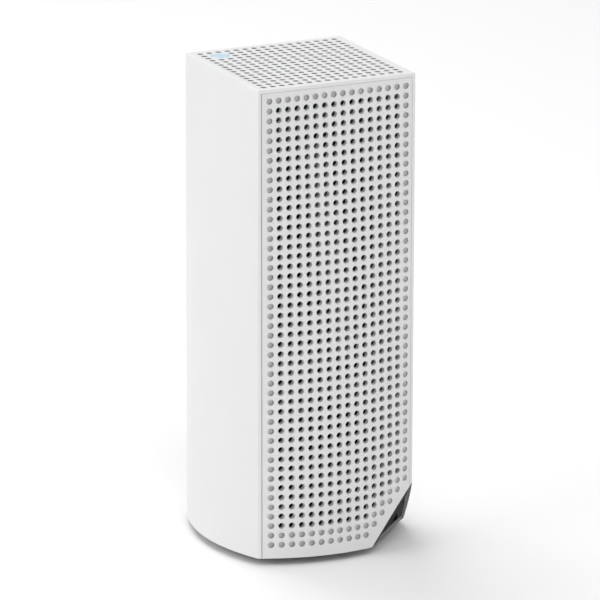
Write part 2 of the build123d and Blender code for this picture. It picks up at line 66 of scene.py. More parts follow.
(_, _, BOTTOM), (_, _, TOP) = box_mm("sleeve")
(PANEL_LEFT, _, _), (PANEL_RIGHT, _, PANEL_TOP) = box_mm("vent_panel")
BODY_HEIGHT = TOP - BOTTOM
PITCH = BODY_HEIGHT / 48.53              # between hole centres

# walls: half the width at the corners, and how far their middles bulge
HALF_WIDTH = 8.65 * PITCH
BULGE_LINEAR = 3.10 * PITCH
BULGE_SQUARE = -1.07 * PITCH
WALL = 2.0
TOP_THICKNESS = 2.0
PANEL_THICKNESS = 2.05
INNER_HALF = HALF_WIDTH - WALL
CEILING_Z = TOP - TOP_THICKNESS
CORNER_RADIUS = 0.36                     # upright corners
TOP_RADIUS = 0.36                        # rounded top edge
ARC_STEPS = 4                            # per upright corner
TOP_ARC_STEPS = 3
WALL_STEPS = 26                          # levels up the walls

# front opening and the panel in it
SEAM_X = 30.9
SEAM_Z = TOP - 1.40
REBATE_Y = -29.9                         # back of the rebate the panel sits in
PANEL_REAR_Y = -30.1                     # the panel's rear face goes no further back

# perforation
COLUMNS, ROWS = 16, 47
HALF_COLUMNS = COLUMNS // 2
HOLE_RADIUS = 1.16
BLIND_DEPTH = 1.15
RIM = 0.14                               # rounding of a hole's rim
FIRST_ROW = 1.21 * PITCH                 # below the top
ROW_PITCH = 0.9974 * PITCH
PANEL_GRID_X = 0.35                      # the panel's holes stand this far right of centre
LAST_FULL_COLUMN = 10                    # each column right of it loses one more row
CELL_STEPS = 6                           # border steps per side of a hole's cell

# light pipe, in the middle of a block of two by two cells
LENS_RADIUS = 3.30
LENS_X, LENS_Y = -6.0 * PITCH, 6.0 * PITCH
LENS_GAP = 0.07
LENS_HOLE_RIM = 0.12
LENS_CELL = (1, 13)                      # column and row of the block's low corner

# slanted cut
NOTCH_NORMAL = Vector((1, -1, -0.634)).normalized()
NOTCH_POINT = Vector((13.7 * PITCH / 2, -13.7 * PITCH / 2, BOTTOM))

# finishes, by material slot: skin, hole wall, blind floor, cut edge, blind wall; hole wall, blind
# floor and blind wall are darker as painted shade
SKIN, HOLE, PIT, CUT, BLIND = range(5)

NEAR = 0.02                              # tolerance of the place tests
FRONT_DEPTH = 0.05                       # how far behind the front still counts as front


def bulge(z):
    down = (TOP - z) / BODY_HEIGHT
    return BULGE_LINEAR * down + BULGE_SQUARE * down * down


def wall_out(along, z, half=HALF_WIDTH):
    """Distance of a wall from the axis, at a place along the wall."""
    return half + bulge(z) * (1 - (along / half) ** 2)


def near(value, place):
    return abs(value - place) < NEAR


def on_notch(point):
    return near((point - NOTCH_POINT).dot(NOTCH_NORMAL), 0.0)


def on_front(point):
    return point.y <= -wall_out(point.x, point.z) + FRONT_DEPTH


# --------------------------------------------------------------------------
# mesh building
# --------------------------------------------------------------------------
class Skin:
    """Points welded by place to 0.001 mm, and the faces between them."""

    def __init__(self):
        self.index = {}
        self.points = []
        self.faces = []
        self.finishes = []

    def point(self, place):
        key = tuple(round(value * 1000) for value in place)
        if key not in self.index:
            self.index[key] = len(self.points)
            self.points.append(place)
        return self.index[key]

    def face(self, places, finish=SKIN):
        """Adds a face, leaving out repeated neighbours and collapsed faces."""
        corners = []
        for place in places:
            i = self.point(place)
            if not corners or corners[-1] != i:
                corners.append(i)
        if len(corners) > 1 and corners[0] == corners[-1]:
            corners.pop()
        if len(corners) >= 3 and len(set(corners)) == len(corners):
            self.faces.append(corners)
            self.finishes.append(finish)

    def strip(self, first, second, closed=False, finish=SKIN):
        """Quads between two rows of matching points."""
        count = len(first)
        for i in range(count if closed else count - 1):
            j = (i + 1) % count
            self.face([first[i], first[j], second[j], second[i]], finish)

    def fan(self, ring, middle, finish=SKIN):
        for i in range(len(ring)):
            self.face([ring[i], ring[(i + 1) % len(ring)], middle], finish)

    def to_bmesh(self):
        mesh = bmesh.new()
        verts = [mesh.verts.new(place) for place in self.points]
        for corners, finish in zip(self.faces, self.finishes):
            # guards against a face on the same points as an earlier one
            try:
                mesh.faces.new([verts[i] for i in corners]).material_index = finish
            except ValueError:
                pass
        bmesh.ops.recalc_face_normals(mesh, faces=mesh.faces)
        return mesh


def cut_notch(mesh):
    """Takes off the corner beyond the slanted plane and closes the cut."""
    cut = bmesh.ops.bisect_plane(
        mesh, geom=mesh.verts[:] + mesh.edges[:] + mesh.faces[:], dist=1e-5,
        plane_co=NOTCH_POINT, plane_no=NOTCH_NORMAL, clear_outer=True,
    )
    edges = [part for part in cut["geom_cut"] if isinstance(part, bmesh.types.BMEdge)]
    edges = [edge for edge in edges if edge.is_valid and len(edge.link_faces) == 1]
    bmesh.ops.triangle_fill(mesh, use_beauty=True, use_dissolve=False, edges=edges)
    bmesh.ops.recalc_face_normals(mesh, faces=mesh.faces)


def mark_cut(mesh):
    """The faces lying in the slanted cut take the cut-edge finish."""
    mesh.normal_update()
    for face in mesh.faces:
        along_cut = abs(face.normal.dot(NOTCH_NORMAL)) > 0.97
        if along_cut and all(on_notch(vert.co) for vert in face.verts):
            face.material_index = CUT


def soften(mesh, test, width, min_angle=50):
    """Rounds the sharp edges whose midpoints pass the test."""
    sharp = []
    for edge in mesh.edges:
        if math.degrees(edge.calc_face_angle(0.0)) > min_angle:
            if test((edge.verts[0].co + edge.verts[1].co) / 2):
                sharp.append(edge)
    if sharp:
        bmesh.ops.bevel(
            mesh, geom=sharp, offset=width, offset_type="OFFSET", segments=2,
            profile=0.5, affect="EDGES", clamp_overlap=False,
        )


def to_object(source, name, sharp=50):
    """Cleans the bmesh, scales it to metres and links it as a smooth-shaded object."""
    bmesh.ops.remove_doubles(source, verts=source.verts[:], dist=0.0008)
    bmesh.ops.dissolve_degenerate(source, edges=source.edges[:], dist=0.0004)
    bmesh.ops.scale(source, vec=(MM, MM, MM), verts=source.verts[:])
    mesh = bpy.data.meshes.new(name)
    source.to_mesh(mesh)
    source.free()
    part = bpy.data.objects.new(name, mesh)
    bpy.context.scene.collection.objects.link(part)
    mesh.shade_smooth()
    mesh.set_sharp_from_angle(angle=math.radians(sharp))
    # the slanted cut meets the walls at about 50 degrees: its border is always crisp
    sides = {}
    for polygon in mesh.polygons:
        for key in polygon.edge_keys:
            sides.setdefault(key, set()).add(polygon.material_index == CUT)
    for edge in mesh.edges:
        if len(sides.get(edge.key, ())) == 2:
            edge.use_edge_sharp = True
    normals = part.modifiers.new("normals", "WEIGHTED_NORMAL")
    normals.keep_sharp = True
    normals.weight = 80
    return part


# --------------------------------------------------------------------------
# perforation: cells on a flat grid (across, up), laid on a face by two functions:
# front(across, up, depth) is a point under the face, back(across, up) one on the rear
# --------------------------------------------------------------------------
def cell_border(left, right, low, high, steps=CELL_STEPS):
    """Points round a cell's border, anticlockwise from its low corner."""
    corners = [(left, low), (right, low), (right, high), (left, high)]
    border = []
    for start, end in zip(corners, corners[1:] + corners[:1]):
        for i in range(steps):
            border.append(tuple(a + (b - a) * i / steps for a, b in zip(start, end)))
    return border


def hole(skin, centre, border, radius, front, back, floor=None, rim=RIM):
    """One perforation: rounded rim, wall, and an open end or a floor(across, up)."""
    count = len(border)
    angles = [math.radians(-135 + 360.0 * i / count) for i in range(count)]

    def circle(surface, size, *depth):
        return [
            surface(centre[0] + size * math.cos(angle), centre[1] + size * math.sin(angle), *depth)
            for angle in angles
        ]

    rings = [
        [front(*place) for place in border],
        circle(front, radius + rim, 0.0),
        circle(front, radius + rim * 0.30, rim * 0.30),
        circle(front, radius, rim),
    ]
    for outer, inner in zip(rings, rings[1:]):
        skin.strip(outer, inner, closed=True)
    rear = [back(*place) for place in border]
    if floor is None:
        end = circle(back, radius)
        skin.strip(rings[-1], end, closed=True, finish=HOLE)
        skin.strip(end, rear, closed=True)
    else:
        end = circle(floor, radius * 0.985)
        skin.strip(rings[-1], end, closed=True, finish=BLIND)
        skin.fan(end, floor(*centre), PIT)
        skin.fan(rear, back(*centre))


# --------------------------------------------------------------------------
# vent panel
# --------------------------------------------------------------------------
def panel_front(x, z, depth=0.0):
    return (x, -wall_out(x, z) + depth, z)


def panel_back(x, z):
    return (x, min(-wall_out(x, z, HALF_WIDTH - PANEL_THICKNESS), PANEL_REAR_Y), z)


def panel_cell(skin, i, j, centre, border):
    """Column i, row j: a hole, a blind hole near the panel's edges, or plain below them."""
    row_count = ROWS - max(0, i - LAST_FULL_COLUMN)
    if j >= row_count:
        for surface in (panel_front, panel_back):
            skin.fan([surface(*place) for place in border], surface(*centre))
        return
    floor = None
    if j == 0 or i in (0, COLUMNS - 1) or j >= row_count - 2:
        floor_y = -wall_out(*centre) + BLIND_DEPTH

        def floor(x, z):
            return (x, floor_y, z)

    hole(skin, centre, border, HOLE_RADIUS, panel_front, panel_back, floor)


def build_panel():
    skin = Skin()
    cell_z = [TOP - FIRST_ROW + ROW_PITCH / 2 - j * ROW_PITCH for j in range(ROWS + 1)]
    cell_x = [PANEL_GRID_X + (i - HALF_COLUMNS) * PITCH for i in range(COLUMNS + 1)]
    for i in range(COLUMNS):
        for j in range(ROWS):
            centre = ((cell_x[i] + cell_x[i + 1]) / 2, (cell_z[j] + cell_z[j + 1]) / 2)
            border = cell_border(cell_x[i], cell_x[i + 1], cell_z[j + 1], cell_z[j])
            panel_cell(skin, i, j, centre, border)

    # border strips out to the panel's edge
    count = COLUMNS * CELL_STEPS
    fine_x = [cell_x[0] + (cell_x[-1] - cell_x[0]) * i / count for i in range(count + 1)]
    fine_z = [
        upper + (lower - upper) * i / CELL_STEPS
        for upper, lower in zip(cell_z, cell_z[1:]) for i in range(CELL_STEPS)
    ] + [cell_z[-1]]
    all_x = [PANEL_LEFT] + fine_x + [PANEL_RIGHT]
    all_z = [PANEL_TOP] + fine_z + [BOTTOM]
    for surface in (panel_front, panel_back):
        for upper, lower in (all_z[:2], all_z[-2:]):
            skin.strip([surface(x, upper) for x in all_x], [surface(x, lower) for x in all_x])
        for left, right in (all_x[:2], all_x[-2:]):
            skin.strip([surface(left, z) for z in fine_z], [surface(right, z) for z in fine_z])
    # the four edges
    for z in (PANEL_TOP, BOTTOM):
        skin.strip([panel_front(x, z) for x in all_x], [panel_back(x, z) for x in all_x])
    for x in (PANEL_LEFT, PANEL_RIGHT):
        skin.strip([panel_front(x, z) for z in all_z], [panel_back(x, z) for z in all_z])
    mesh = skin.to_bmesh()
    cut_notch(mesh)

    def outer_edge(mid):
        at_side = near(mid.x, PANEL_LEFT) or near(mid.x, PANEL_RIGHT)
        at_end = near(mid.z, PANEL_TOP) or near(mid.z, BOTTOM)
        return (on_front(mid) or on_notch(mid)) and (at_side or at_end)

    soften(mesh, outer_edge, width=0.10)
    mark_cut(mesh)
    return to_object(mesh, "vent_panel_skin")


# --------------------------------------------------------------------------
# sleeve: three walls, the perforated top and the narrow front lips
# sides are numbered 0 left, 1 back, 2 right, 3 front, clockwise from above
# --------------------------------------------------------------------------
FINE_GRID = [(-HALF_COLUMNS + i / CELL_STEPS) * PITCH for i in range(COLUMNS * CELL_STEPS + 1)]
STEP_X = wall_out(REBATE_Y, CEILING_Z, INNER_HALF)   # inner side wall at the rebate
FRONT_GRID = [-SEAM_X, -STEP_X] + FINE_GRID + [STEP_X, SEAM_X]


def turn(along, out, side):
    """A side's own (along, outward) as plan x, y."""
    return ((-out, along), (along, out), (out, -along), (-along, -out))[side]


def corner_arc(start, end, radius, z):
    """Points between two sides' ends, each given as (point, normal) in plan."""
    (start_point, start_normal), (end_point, end_normal) = start, end
    centre = [
        (start_point[i] - radius * start_normal[i] + end_point[i] - radius * end_normal[i]) / 2
        for i in range(2)
    ]
    first = math.atan2(start_normal[1], start_normal[0])
    last = math.atan2(end_normal[1], end_normal[0])
    while last - first > math.pi:
        last -= 2 * math.pi
    while last - first < -math.pi:
        last += 2 * math.pi
    angles = [first + (last - first) * i / ARC_STEPS for i in range(1, ARC_STEPS)]
    return [
        (centre[0] + radius * math.cos(angle), centre[1] + radius * math.sin(angle), z)
        for angle in angles
    ]


def outline(level, inset=0.0, rise=0.0):
    """Outer outline at a level: points per side, and the corner arc after each side.

    The points are moved inward by inset and drawn rise above the level.
    """
    swell = bulge(level)
    lean = math.atan(2 * swell / HALF_WIDTH)
    trim = CORNER_RADIUS * math.tan((math.pi / 2 - 2 * lean) / 2) * math.cos(lean)
    end = HALF_WIDTH - trim
    z = level + rise
    sides = []
    for side in range(4):
        places = []
        for along in [-end] + (FRONT_GRID if side == 3 else FINE_GRID) + [end]:
            out = wall_out(along, level)
            slope = -2 * swell * along / HALF_WIDTH ** 2
            length = math.hypot(1, slope)
            normal_along, normal_out = -slope / length, 1 / length
            point = turn(along - normal_along * inset, out - normal_out * inset, side)
            places.append((point, turn(normal_along, normal_out, side)))
        sides.append(places)
    arcs = [
        corner_arc(sides[side][-1], sides[(side + 1) % 4][0], CORNER_RADIUS - inset, z)
        for side in range(4)
    ]
    return [[(*point, z) for point, _ in places] for places in sides], arcs


def closed_loop(sides, arcs):
    return [point for side, arc in zip(sides, arcs) for point in side + arc]


def open_loop(z):
    """Outer outline from the left front lip round the back to the right front lip."""
    sides, arcs = outline(z)
    return sides[3][-2:] + arcs[3] + closed_loop(sides[:3], arcs[:3]) + sides[3][:2]


def inner_walls(z):
    """Inner faces of the left, back and right walls, and the two back corners."""
    left = [(-wall_out(y, z, INNER_HALF), y, z) for y in FINE_GRID]
    back = [(x, wall_out(x, z, INNER_HALF), z) for x in FINE_GRID]
    right = [(wall_out(y, z, INNER_HALF), y, z) for y in reversed(FINE_GRID)]
    return [left, back, right], [(-INNER_HALF, INNER_HALF, z), (INNER_HALF, INNER_HALF, z)]


def inner_loop(z):
    """Inner outline from lip to lip, in the same order as the outer one."""
    (left, back, right), (back_left, back_right) = inner_walls(z)
    step = wall_out(REBATE_Y, z, INNER_HALF)
    return (
        [(-SEAM_X, REBATE_Y, z), (-step, REBATE_Y, z)] + left + [back_left] + back
        + [back_right] + right + [(step, REBATE_Y, z), (SEAM_X, REBATE_Y, z)]
    )


def grid_edges(z):
    """Border of the top's hole grid, per side."""
    edge = HALF_COLUMNS * PITCH
    return [
        [(-edge, y, z) for y in FINE_GRID], [(x, edge, z) for x in FINE_GRID],
        [(edge, y, z) for y in reversed(FINE_GRID)], [(x, -edge, z) for x in reversed(FINE_GRID)],
    ]


def add_walls(skin):
    rise = CEILING_Z - BOTTOM
    levels = [BOTTOM + rise * i / WALL_STEPS for i in range(WALL_STEPS + 1)]
    for low, high in zip(levels[:-1], levels[1:]):
        skin.strip(open_loop(low), open_loop(high))
        skin.strip(inner_loop(low), inner_loop(high))
    # lip faces either side of the front opening, up to the strip over the panel
    for low, high in zip(levels, levels[1:] + [SEAM_Z]):
        for end in (0, -1):
            inner = inner_loop(low)[end]
            inner_high = (inner[0], inner[1], high)
            skin.face([open_loop(low)[end], open_loop(high)[end], inner_high, inner])
    skin.strip(open_loop(CEILING_Z), open_loop(SEAM_Z))


def add_bottom_edge(skin):
    sides, arcs = outline(BOTTOM)
    walls, corners = inner_walls(BOTTOM)
    inner = inner_loop(BOTTOM)
    for k in range(3):
        skin.strip(sides[k][1:-1], walls[k])
    for k in range(2):
        skin.face(sides[k][-2:] + arcs[k] + sides[k + 1][:2]
                  + [walls[k + 1][0], corners[k], walls[k][-1]])
    skin.face(sides[3][-2:] + arcs[3] + sides[0][:2] + [walls[0][0], inner[1], inner[0]])
    skin.face(sides[2][-2:] + arcs[2] + sides[3][:2] + [inner[-1], inner[-2], walls[2][-1]])


def add_rebate(skin):
    """Upright step and underside of the strip over the panel."""
    low = [(x, REBATE_Y, CEILING_Z) for x in FRONT_GRID]
    high = [(x, REBATE_Y, SEAM_Z) for x in FRONT_GRID]
    skin.strip(low, high)
    sides, _ = outline(SEAM_Z)
    skin.strip(high, sides[3][-2:0:-1])


def add_top_edge(skin):
    """Band above the seam, rounded top edge, and the top face out from the hole grid."""
    shoulder = TOP - TOP_RADIUS
    rings = [outline(SEAM_Z), outline(shoulder)]
    for i in range(1, TOP_ARC_STEPS + 1):
        angle = math.radians(90 * i / TOP_ARC_STEPS)
        inset = TOP_RADIUS * (1 - math.cos(angle))
        rings.append(outline(shoulder, inset, rise=TOP_RADIUS * math.sin(angle)))
    for lower, upper in zip(rings, rings[1:]):
        skin.strip(closed_loop(*lower), closed_loop(*upper), closed=True)

    sides, arcs = rings[-1]
    edges = grid_edges(TOP)
    extra = (1, 1, 1, 3)                 # points of each side beyond the grid, at either end
    for k in range(4):
        j = (k + 1) % 4
        skin.strip(sides[k][extra[k]:-extra[k]], edges[k])
        skin.face(sides[k][-1 - extra[k]:] + arcs[k] + sides[j][:1 + extra[j]] + [edges[k][-1]])


def add_ceiling_border(skin):
    """Underside of the top, from the hole grid out to the inner walls."""
    walls, corners = inner_walls(CEILING_Z)
    inner = inner_loop(CEILING_Z)
    edges = grid_edges(CEILING_Z)
    rebate = [(x, REBATE_Y, CEILING_Z) for x in reversed(FINE_GRID)]
    for k in range(3):
        skin.strip(edges[k], walls[k])
    for k in range(2):
        skin.face([edges[k][-1], walls[k][-1], corners[k], walls[k + 1][0]])
    skin.strip(edges[3], rebate)
    skin.face([edges[3][-1], walls[0][0], inner[1], rebate[-1]])
    skin.face([edges[2][-1], walls[2][-1], inner[-2], rebate[0]])


def add_top_holes(skin):
    def front(x, y, depth=0.0):
        return (x, y, TOP - depth)

    def back(x, y):
        return (x, y, CEILING_Z)

    lens_i, lens_j = LENS_CELL
    for i in range(COLUMNS):
        for j in range(COLUMNS):
            x, y = (i - HALF_COLUMNS) * PITCH, (j - HALF_COLUMNS) * PITCH
            if (i, j) == LENS_CELL:
                border = cell_border(x, x + 2 * PITCH, y, y + 2 * PITCH, 2 * CELL_STEPS)
                hole(skin, (LENS_X, LENS_Y), border, LENS_RADIUS + LENS_GAP, front, back,
                     rim=LENS_HOLE_RIM)
            elif i not in (lens_i, lens_i + 1) or j not in (lens_j, lens_j + 1):
                border = cell_border(x, x + PITCH, y, y + PITCH)
                hole(skin, (x + PITCH / 2, y + PITCH / 2), border, HOLE_RADIUS, front, back)


def build_sleeve():
    skin = Skin()
    add_walls(skin)
    add_bottom_edge(skin)
    add_rebate(skin)
    add_top_edge(skin)
    add_ceiling_border(skin)
    add_top_holes(skin)
    mesh = skin.to_bmesh()
    cut_notch(mesh)

    def opening_or_bottom(mid):
        if on_notch(mid):
            return False
        at_seam = near(abs(mid.x), SEAM_X) or near(mid.z, SEAM_Z)
        return near(mid.z, BOTTOM) or (at_seam and on_front(mid))

    soften(mesh, opening_or_bottom, width=0.09)
    mark_cut(mesh)
    return to_object(mesh, "sleeve_shell")


# --------------------------------------------------------------------------
# light pipe: a slightly domed lens with a rounded rim, its stem and flange
# --------------------------------------------------------------------------
def lathe(profile, name, segments=64, sharp=40):
    """Turned solid about the light pipe's axis; profile is (radius, z) from axis to axis."""
    skin = Skin()
    rings = []
    for radius, z in profile:
        if radius < 1e-6:
            rings.append([(LENS_X, LENS_Y, z)])
            continue
        angles = [2 * math.pi * i / segments for i in range(segments)]
        rings.append([
            (LENS_X + radius * math.cos(angle), LENS_Y + radius * math.sin(angle), z)
            for angle in angles
        ])
    for upper, lower in zip(rings[:-1], rings[1:]):
        for i in range(segments):
            j = (i + 1) % segments
            if len(upper) == 1:
                skin.face([upper[0], lower[i], lower[j]])
            elif len(lower) == 1:
                skin.face([upper[i], upper[j], lower[0]])
            else:
                skin.face([upper[i], upper[j], lower[j], lower[i]])
    return to_object(skin.to_bmesh(), name, sharp)


def build_lens():
    (left, _, foot), (right, _, top) = box_mm("light_pipe")
    flange = (right - left) / 2
    dome, rim = 0.10, 0.22               # rise of the dome, radius of the rim
    flange_depth, flange_chamfer, foot_chamfer = 1.20, 0.12, 0.3
    dome_steps, rim_steps = 6, 4
    profile = [(0.0, top)]
    for i in range(1, dome_steps + 1):
        part = i / dome_steps
        profile.append(((LENS_RADIUS - rim) * part, top - dome * part * part))
    for i in range(1, rim_steps + 1):
        angle = math.radians(90 * i / rim_steps)
        profile.append((LENS_RADIUS - rim + rim * math.sin(angle),
                        top - (dome + rim) + rim * math.cos(angle)))
    profile += [
        (LENS_RADIUS, CEILING_Z),
        (flange - flange_chamfer, CEILING_Z),
        (flange, CEILING_Z - flange_chamfer),
        (flange, CEILING_Z - flange_depth + flange_chamfer),
        (flange - flange_chamfer, CEILING_Z - flange_depth),
        (LENS_RADIUS, CEILING_Z - flange_depth),
        (LENS_RADIUS, foot + foot_chamfer),
        (LENS_RADIUS - foot_chamfer, foot),
        (0.0, foot),
    ]
    return lathe(profile, "light_pipe_lens")


def build_clips():
    """Snap hooks behind the vent panel's side edges, with a lead-in ramp on each."""
    skin = Skin()
    clip_inner_x, clip_outer_x = 23.0, 26.5
    rear_y = -28.4
    # heights and sides (-1 left, 1 right); the cut corner has no clip
    for z, signs in ((24.0, (-1,)), (66.0, (-1, 1)), (108.0, (-1, 1)), (150.0, (-1, 1))):
        front_y = -(30.35 + 0.33 * bulge(z))
        profile = [                      # y, z
            (front_y, z - 3.0), (rear_y - 0.5, z - 3.0), (rear_y, z - 2.5),
            (rear_y, z + 1.0), (rear_y - 1.0, z + 3.0), (front_y, z + 3.0),
        ]
        for sign in signs:
            left, right = [
                [(x, *place) for place in profile]
                for x in sorted((sign * clip_inner_x, sign * clip_outer_x))
            ]
            skin.strip(left, right, closed=True)
            skin.face(left)
            skin.face(right[::-1])
    mesh = skin.to_bmesh()
    soften(mesh, lambda mid: mid.y > REBATE_Y, width=0.15, min_angle=30)
    return to_object(mesh, "vent_panel_clips")


panel = build_panel()
sleeve = build_sleeve()
lens = build_lens()
clips = build_clips()
for part, node in ((panel, "vent_panel"), (sleeve, "sleeve"), (lens, "light_pipe"),
                   (clips, "vent_panel")):
    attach(part, "housing")
    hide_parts(node)


# --------------------------------------------------------------------------
# materials: every one is built from nodes, in object space (metres)
# --------------------------------------------------------------------------
NOISE_RANGE = (0.3, 0.7)                 # where most of a noise's values lie


class Material:
    """A node material with a Principled shader, and short calls for its nodes."""

    def __init__(self, name):
        self.material = bpy.data.materials.new(name)
        self.material.use_nodes = True
        self.tree = self.material.node_tree
        self.tree.nodes.clear()
        self.output = self.node("ShaderNodeOutputMaterial")
        self.bsdf = self.node("ShaderNodeBsdfPrincipled")
        self.link(self.bsdf.outputs[0], self.output.inputs[0])
        self.coord = self.node("ShaderNodeTexCoord").outputs["Object"]

    def node(self, kind, **props):
        node = self.tree.nodes.new(kind)
        for key, value in props.items():
            setattr(node, key, value)
        return node

    def link(self, source, target):
        self.tree.links.new(source, target)

    def set(self, **values):
        """Sets shader inputs to values; spaces in their names are underscores here."""
        for key, value in values.items():
            self.bsdf.inputs[key.replace("_", " ")].default_value = value

    def drive(self, **sources):
        """Links shader inputs to node outputs, named as in set."""
        for key, source in sources.items():
            self.link(source, self.bsdf.inputs[key.replace("_", " ")])

    def mapped(self, scale):
        mapping = self.node("ShaderNodeMapping")
        mapping.inputs["Scale"].default_value = scale
        self.link(self.coord, mapping.inputs["Vector"])
        return mapping.outputs[0]

    def noise(self, scale, detail=2.0, rough=0.5, vector=None):
        noise = self.node("ShaderNodeTexNoise")
        noise.inputs["Scale"].default_value = scale
        noise.inputs["Detail"].default_value = detail
        noise.inputs["Roughness"].default_value = rough
        self.link(vector or self.coord, noise.inputs["Vector"])
        return noise.outputs["Fac"]

    def voronoi(self, scale, **props):
        cells = self.node("ShaderNodeTexVoronoi", **props)
        cells.inputs["Scale"].default_value = scale
        self.link(self.coord, cells.inputs["Vector"])
        return cells.outputs["Distance"]

    def remap(self, value, source=NOISE_RANGE, target=(0.0, 1.0)):
        remap = self.node("ShaderNodeMapRange")
        for i, limit in enumerate((*source, *target)):
            remap.inputs[i + 1].default_value = limit
        self.link(value, remap.inputs[0])
        return remap.outputs[0]

    def math(self, operation, *values):
        node = self.node("ShaderNodeMath", operation=operation)
        for i, value in enumerate(values):
            if isinstance(value, (int, float)):
                node.inputs[i].default_value = value
            else:
                self.link(value, node.inputs[i])
        return node.outputs[0]

    def mix(self, factor, first, second):
        """Mix of two colours, each an rgb tuple or a node output."""
        mix = self.node("ShaderNodeMix", data_type="RGBA")
        self.link(factor, mix.inputs["Factor"])
        for key, colour in ((6, first), (7, second)):
            if isinstance(colour, tuple):
                mix.inputs[key].default_value = (*colour, 1.0)
            else:
                self.link(colour, mix.inputs[key])
        return mix.outputs[2]

    def bump(self, height, strength, distance):
        bump = self.node("ShaderNodeBump")
        bump.inputs["Strength"].default_value = strength
        bump.inputs["Distance"].default_value = distance
        self.link(height, bump.inputs["Height"])
        return bump.outputs[0]

    def edges(self):
        geometry = self.node("ShaderNodeNewGeometry")
        return self.remap(geometry.outputs["Pointiness"], source=(0.52, 0.60))


def shade(rgb, factor):
    return tuple(min(1.0, channel * factor) for channel in rgb)


def plastic(name, rgb, rough, grain, strength, mottle, edge, specular=0.5, sss=0.0,
            glow=None, stem=None):
    """Moulded plastic: spark-eroded grain, faint mottling, edges lightened a little, as rubbing
    and as painted highlight.

    grain is the noise scale and strength its bump; edge is how much the edges are lightened, as
    wear and as painted highlight.
    glow = (centre, inner, outer, colour) paints light from a light source onto the skin round it,
    as a tint of the base colour.
    stem = (height, colour) is a second shot of plastic above that height.
    """
    m = Material(name)
    clouds = m.noise(scale=28.0, detail=3.0, rough=0.55)
    base = m.mix(m.remap(clouds), shade(rgb, 1 - mottle), shade(rgb, 1 + mottle))
    fine = m.noise(scale=grain, rough=0.6)
    speck = m.noise(scale=grain * 0.33)
    freckles = m.remap(fine, source=(0.35, 0.65), target=(0.0, mottle * 1.5))
    base = m.mix(freckles, base, shade(rgb, 0.86))
    # edges lightened by pointiness: partly rubbing, partly a painted highlight along rims and
    # edges
    if edge:
        rubbed_and_highlit = shade(rgb, 1.12 if max(rgb) > 0.3 else 2.4)
        base = m.mix(m.math("MULTIPLY", m.edges(), edge * 4), base, rubbed_and_highlit)
    # painted light: the light pipe's glow is painted into the skin's colour round it
    if glow:
        centre, inner, outer, colour = glow
        distance = m.node("ShaderNodeVectorMath", operation="DISTANCE")
        m.link(m.coord, distance.inputs[0])
        distance.inputs[1].default_value = centre
        painted_halo = m.remap(distance.outputs["Value"], source=(inner, outer), target=(0.6, 0.0))
        base = m.mix(painted_halo, base, colour)
    if stem:
        height, colour = stem
        blur = 5e-5
        split = m.node("ShaderNodeSeparateXYZ")
        m.link(m.coord, split.inputs[0])
        above = m.remap(split.outputs["Z"], source=(height - blur, height + blur))
        base = m.mix(above, base, colour)
    m.drive(Base_Color=base)
    m.drive(Roughness=m.remap(speck, target=(rough - 0.05, rough + 0.06)))
    height = m.math("ADD", m.math("MULTIPLY", fine, 0.7), m.math("MULTIPLY", speck, 0.5))
    m.drive(Normal=m.bump(height, strength=strength, distance=0.00003))
    m.set(Specular_IOR_Level=specular, Coat_Roughness=0.2)
    if sss:
        m.set(Subsurface_Weight=sss, Subsurface_Scale=0.0015, Subsurface_Radius=(1.0, 0.95, 0.9))
    return m.material


def metal(name, rgb, rough, brush, dull=0.0):
    """Machined or rolled metal: fine lines along one axis, smudged roughness.

    brush is the noise scale along x, y and z.
    """
    m = Material(name)
    lines = m.noise(scale=1.0, detail=3.0, rough=0.6, vector=m.mapped(brush))
    blot = m.noise(scale=90.0, detail=3.0)
    colour = m.mix(m.remap(lines), shade(rgb, 0.88), shade(rgb, 1.08))
    smudge = m.remap(blot, source=(0.45, 0.75), target=(0.0, 0.35))
    m.drive(Base_Color=m.mix(smudge, colour, shade(rgb, 0.72)))
    m.drive(Roughness=m.remap(blot, target=(rough - 0.08, rough + 0.12)))
    m.drive(Normal=m.bump(lines, strength=0.2, distance=0.00002))
    m.set(Metallic=1.0 - dull)
    return m.material


def rubber(name, rgb, rough=0.78):
    """Dull rubber with a fine grain and patches of dust."""
    m = Material(name)
    fine = m.noise(scale=2600.0, detail=3.0, rough=0.65)
    dust = m.noise(scale=60.0, detail=4.0, rough=0.6)
    dusty = m.remap(dust, source=(0.45, 0.8), target=(0.0, 0.35))
    m.drive(Base_Color=m.mix(dusty, rgb, shade(rgb, 2.0)))
    m.drive(Roughness=m.remap(dust, target=(rough - 0.08, rough + 0.1)))
    m.drive(Normal=m.bump(fine, strength=0.5, distance=0.00005))
    m.set(Specular_IOR_Level=0.35)
    return m.material


def laminate(name, rgb):
    """Circuit board: solder mask over faint copper tracks, with vias."""
    m = Material(name)
    cells = m.voronoi(scale=210.0, feature="DISTANCE_TO_EDGE")
    track = m.remap(cells, source=(0.04, 0.07), target=(1.0, 0.0))
    dots = m.voronoi(scale=320.0)
    via = m.remap(dots, source=(0.10, 0.14), target=(1.0, 0.0))
    colour = m.mix(track, rgb, shade(rgb, 1.6))
    colour = m.mix(m.math("MULTIPLY", via, 0.8), colour, (0.55, 0.50, 0.32))
    m.drive(Base_Color=colour)
    m.drive(Roughness=m.remap(m.noise(scale=400.0), target=(0.30, 0.42)))
    m.drive(Normal=m.bump(m.math("ADD", track, via), strength=0.3, distance=0.00003))
    return m.material


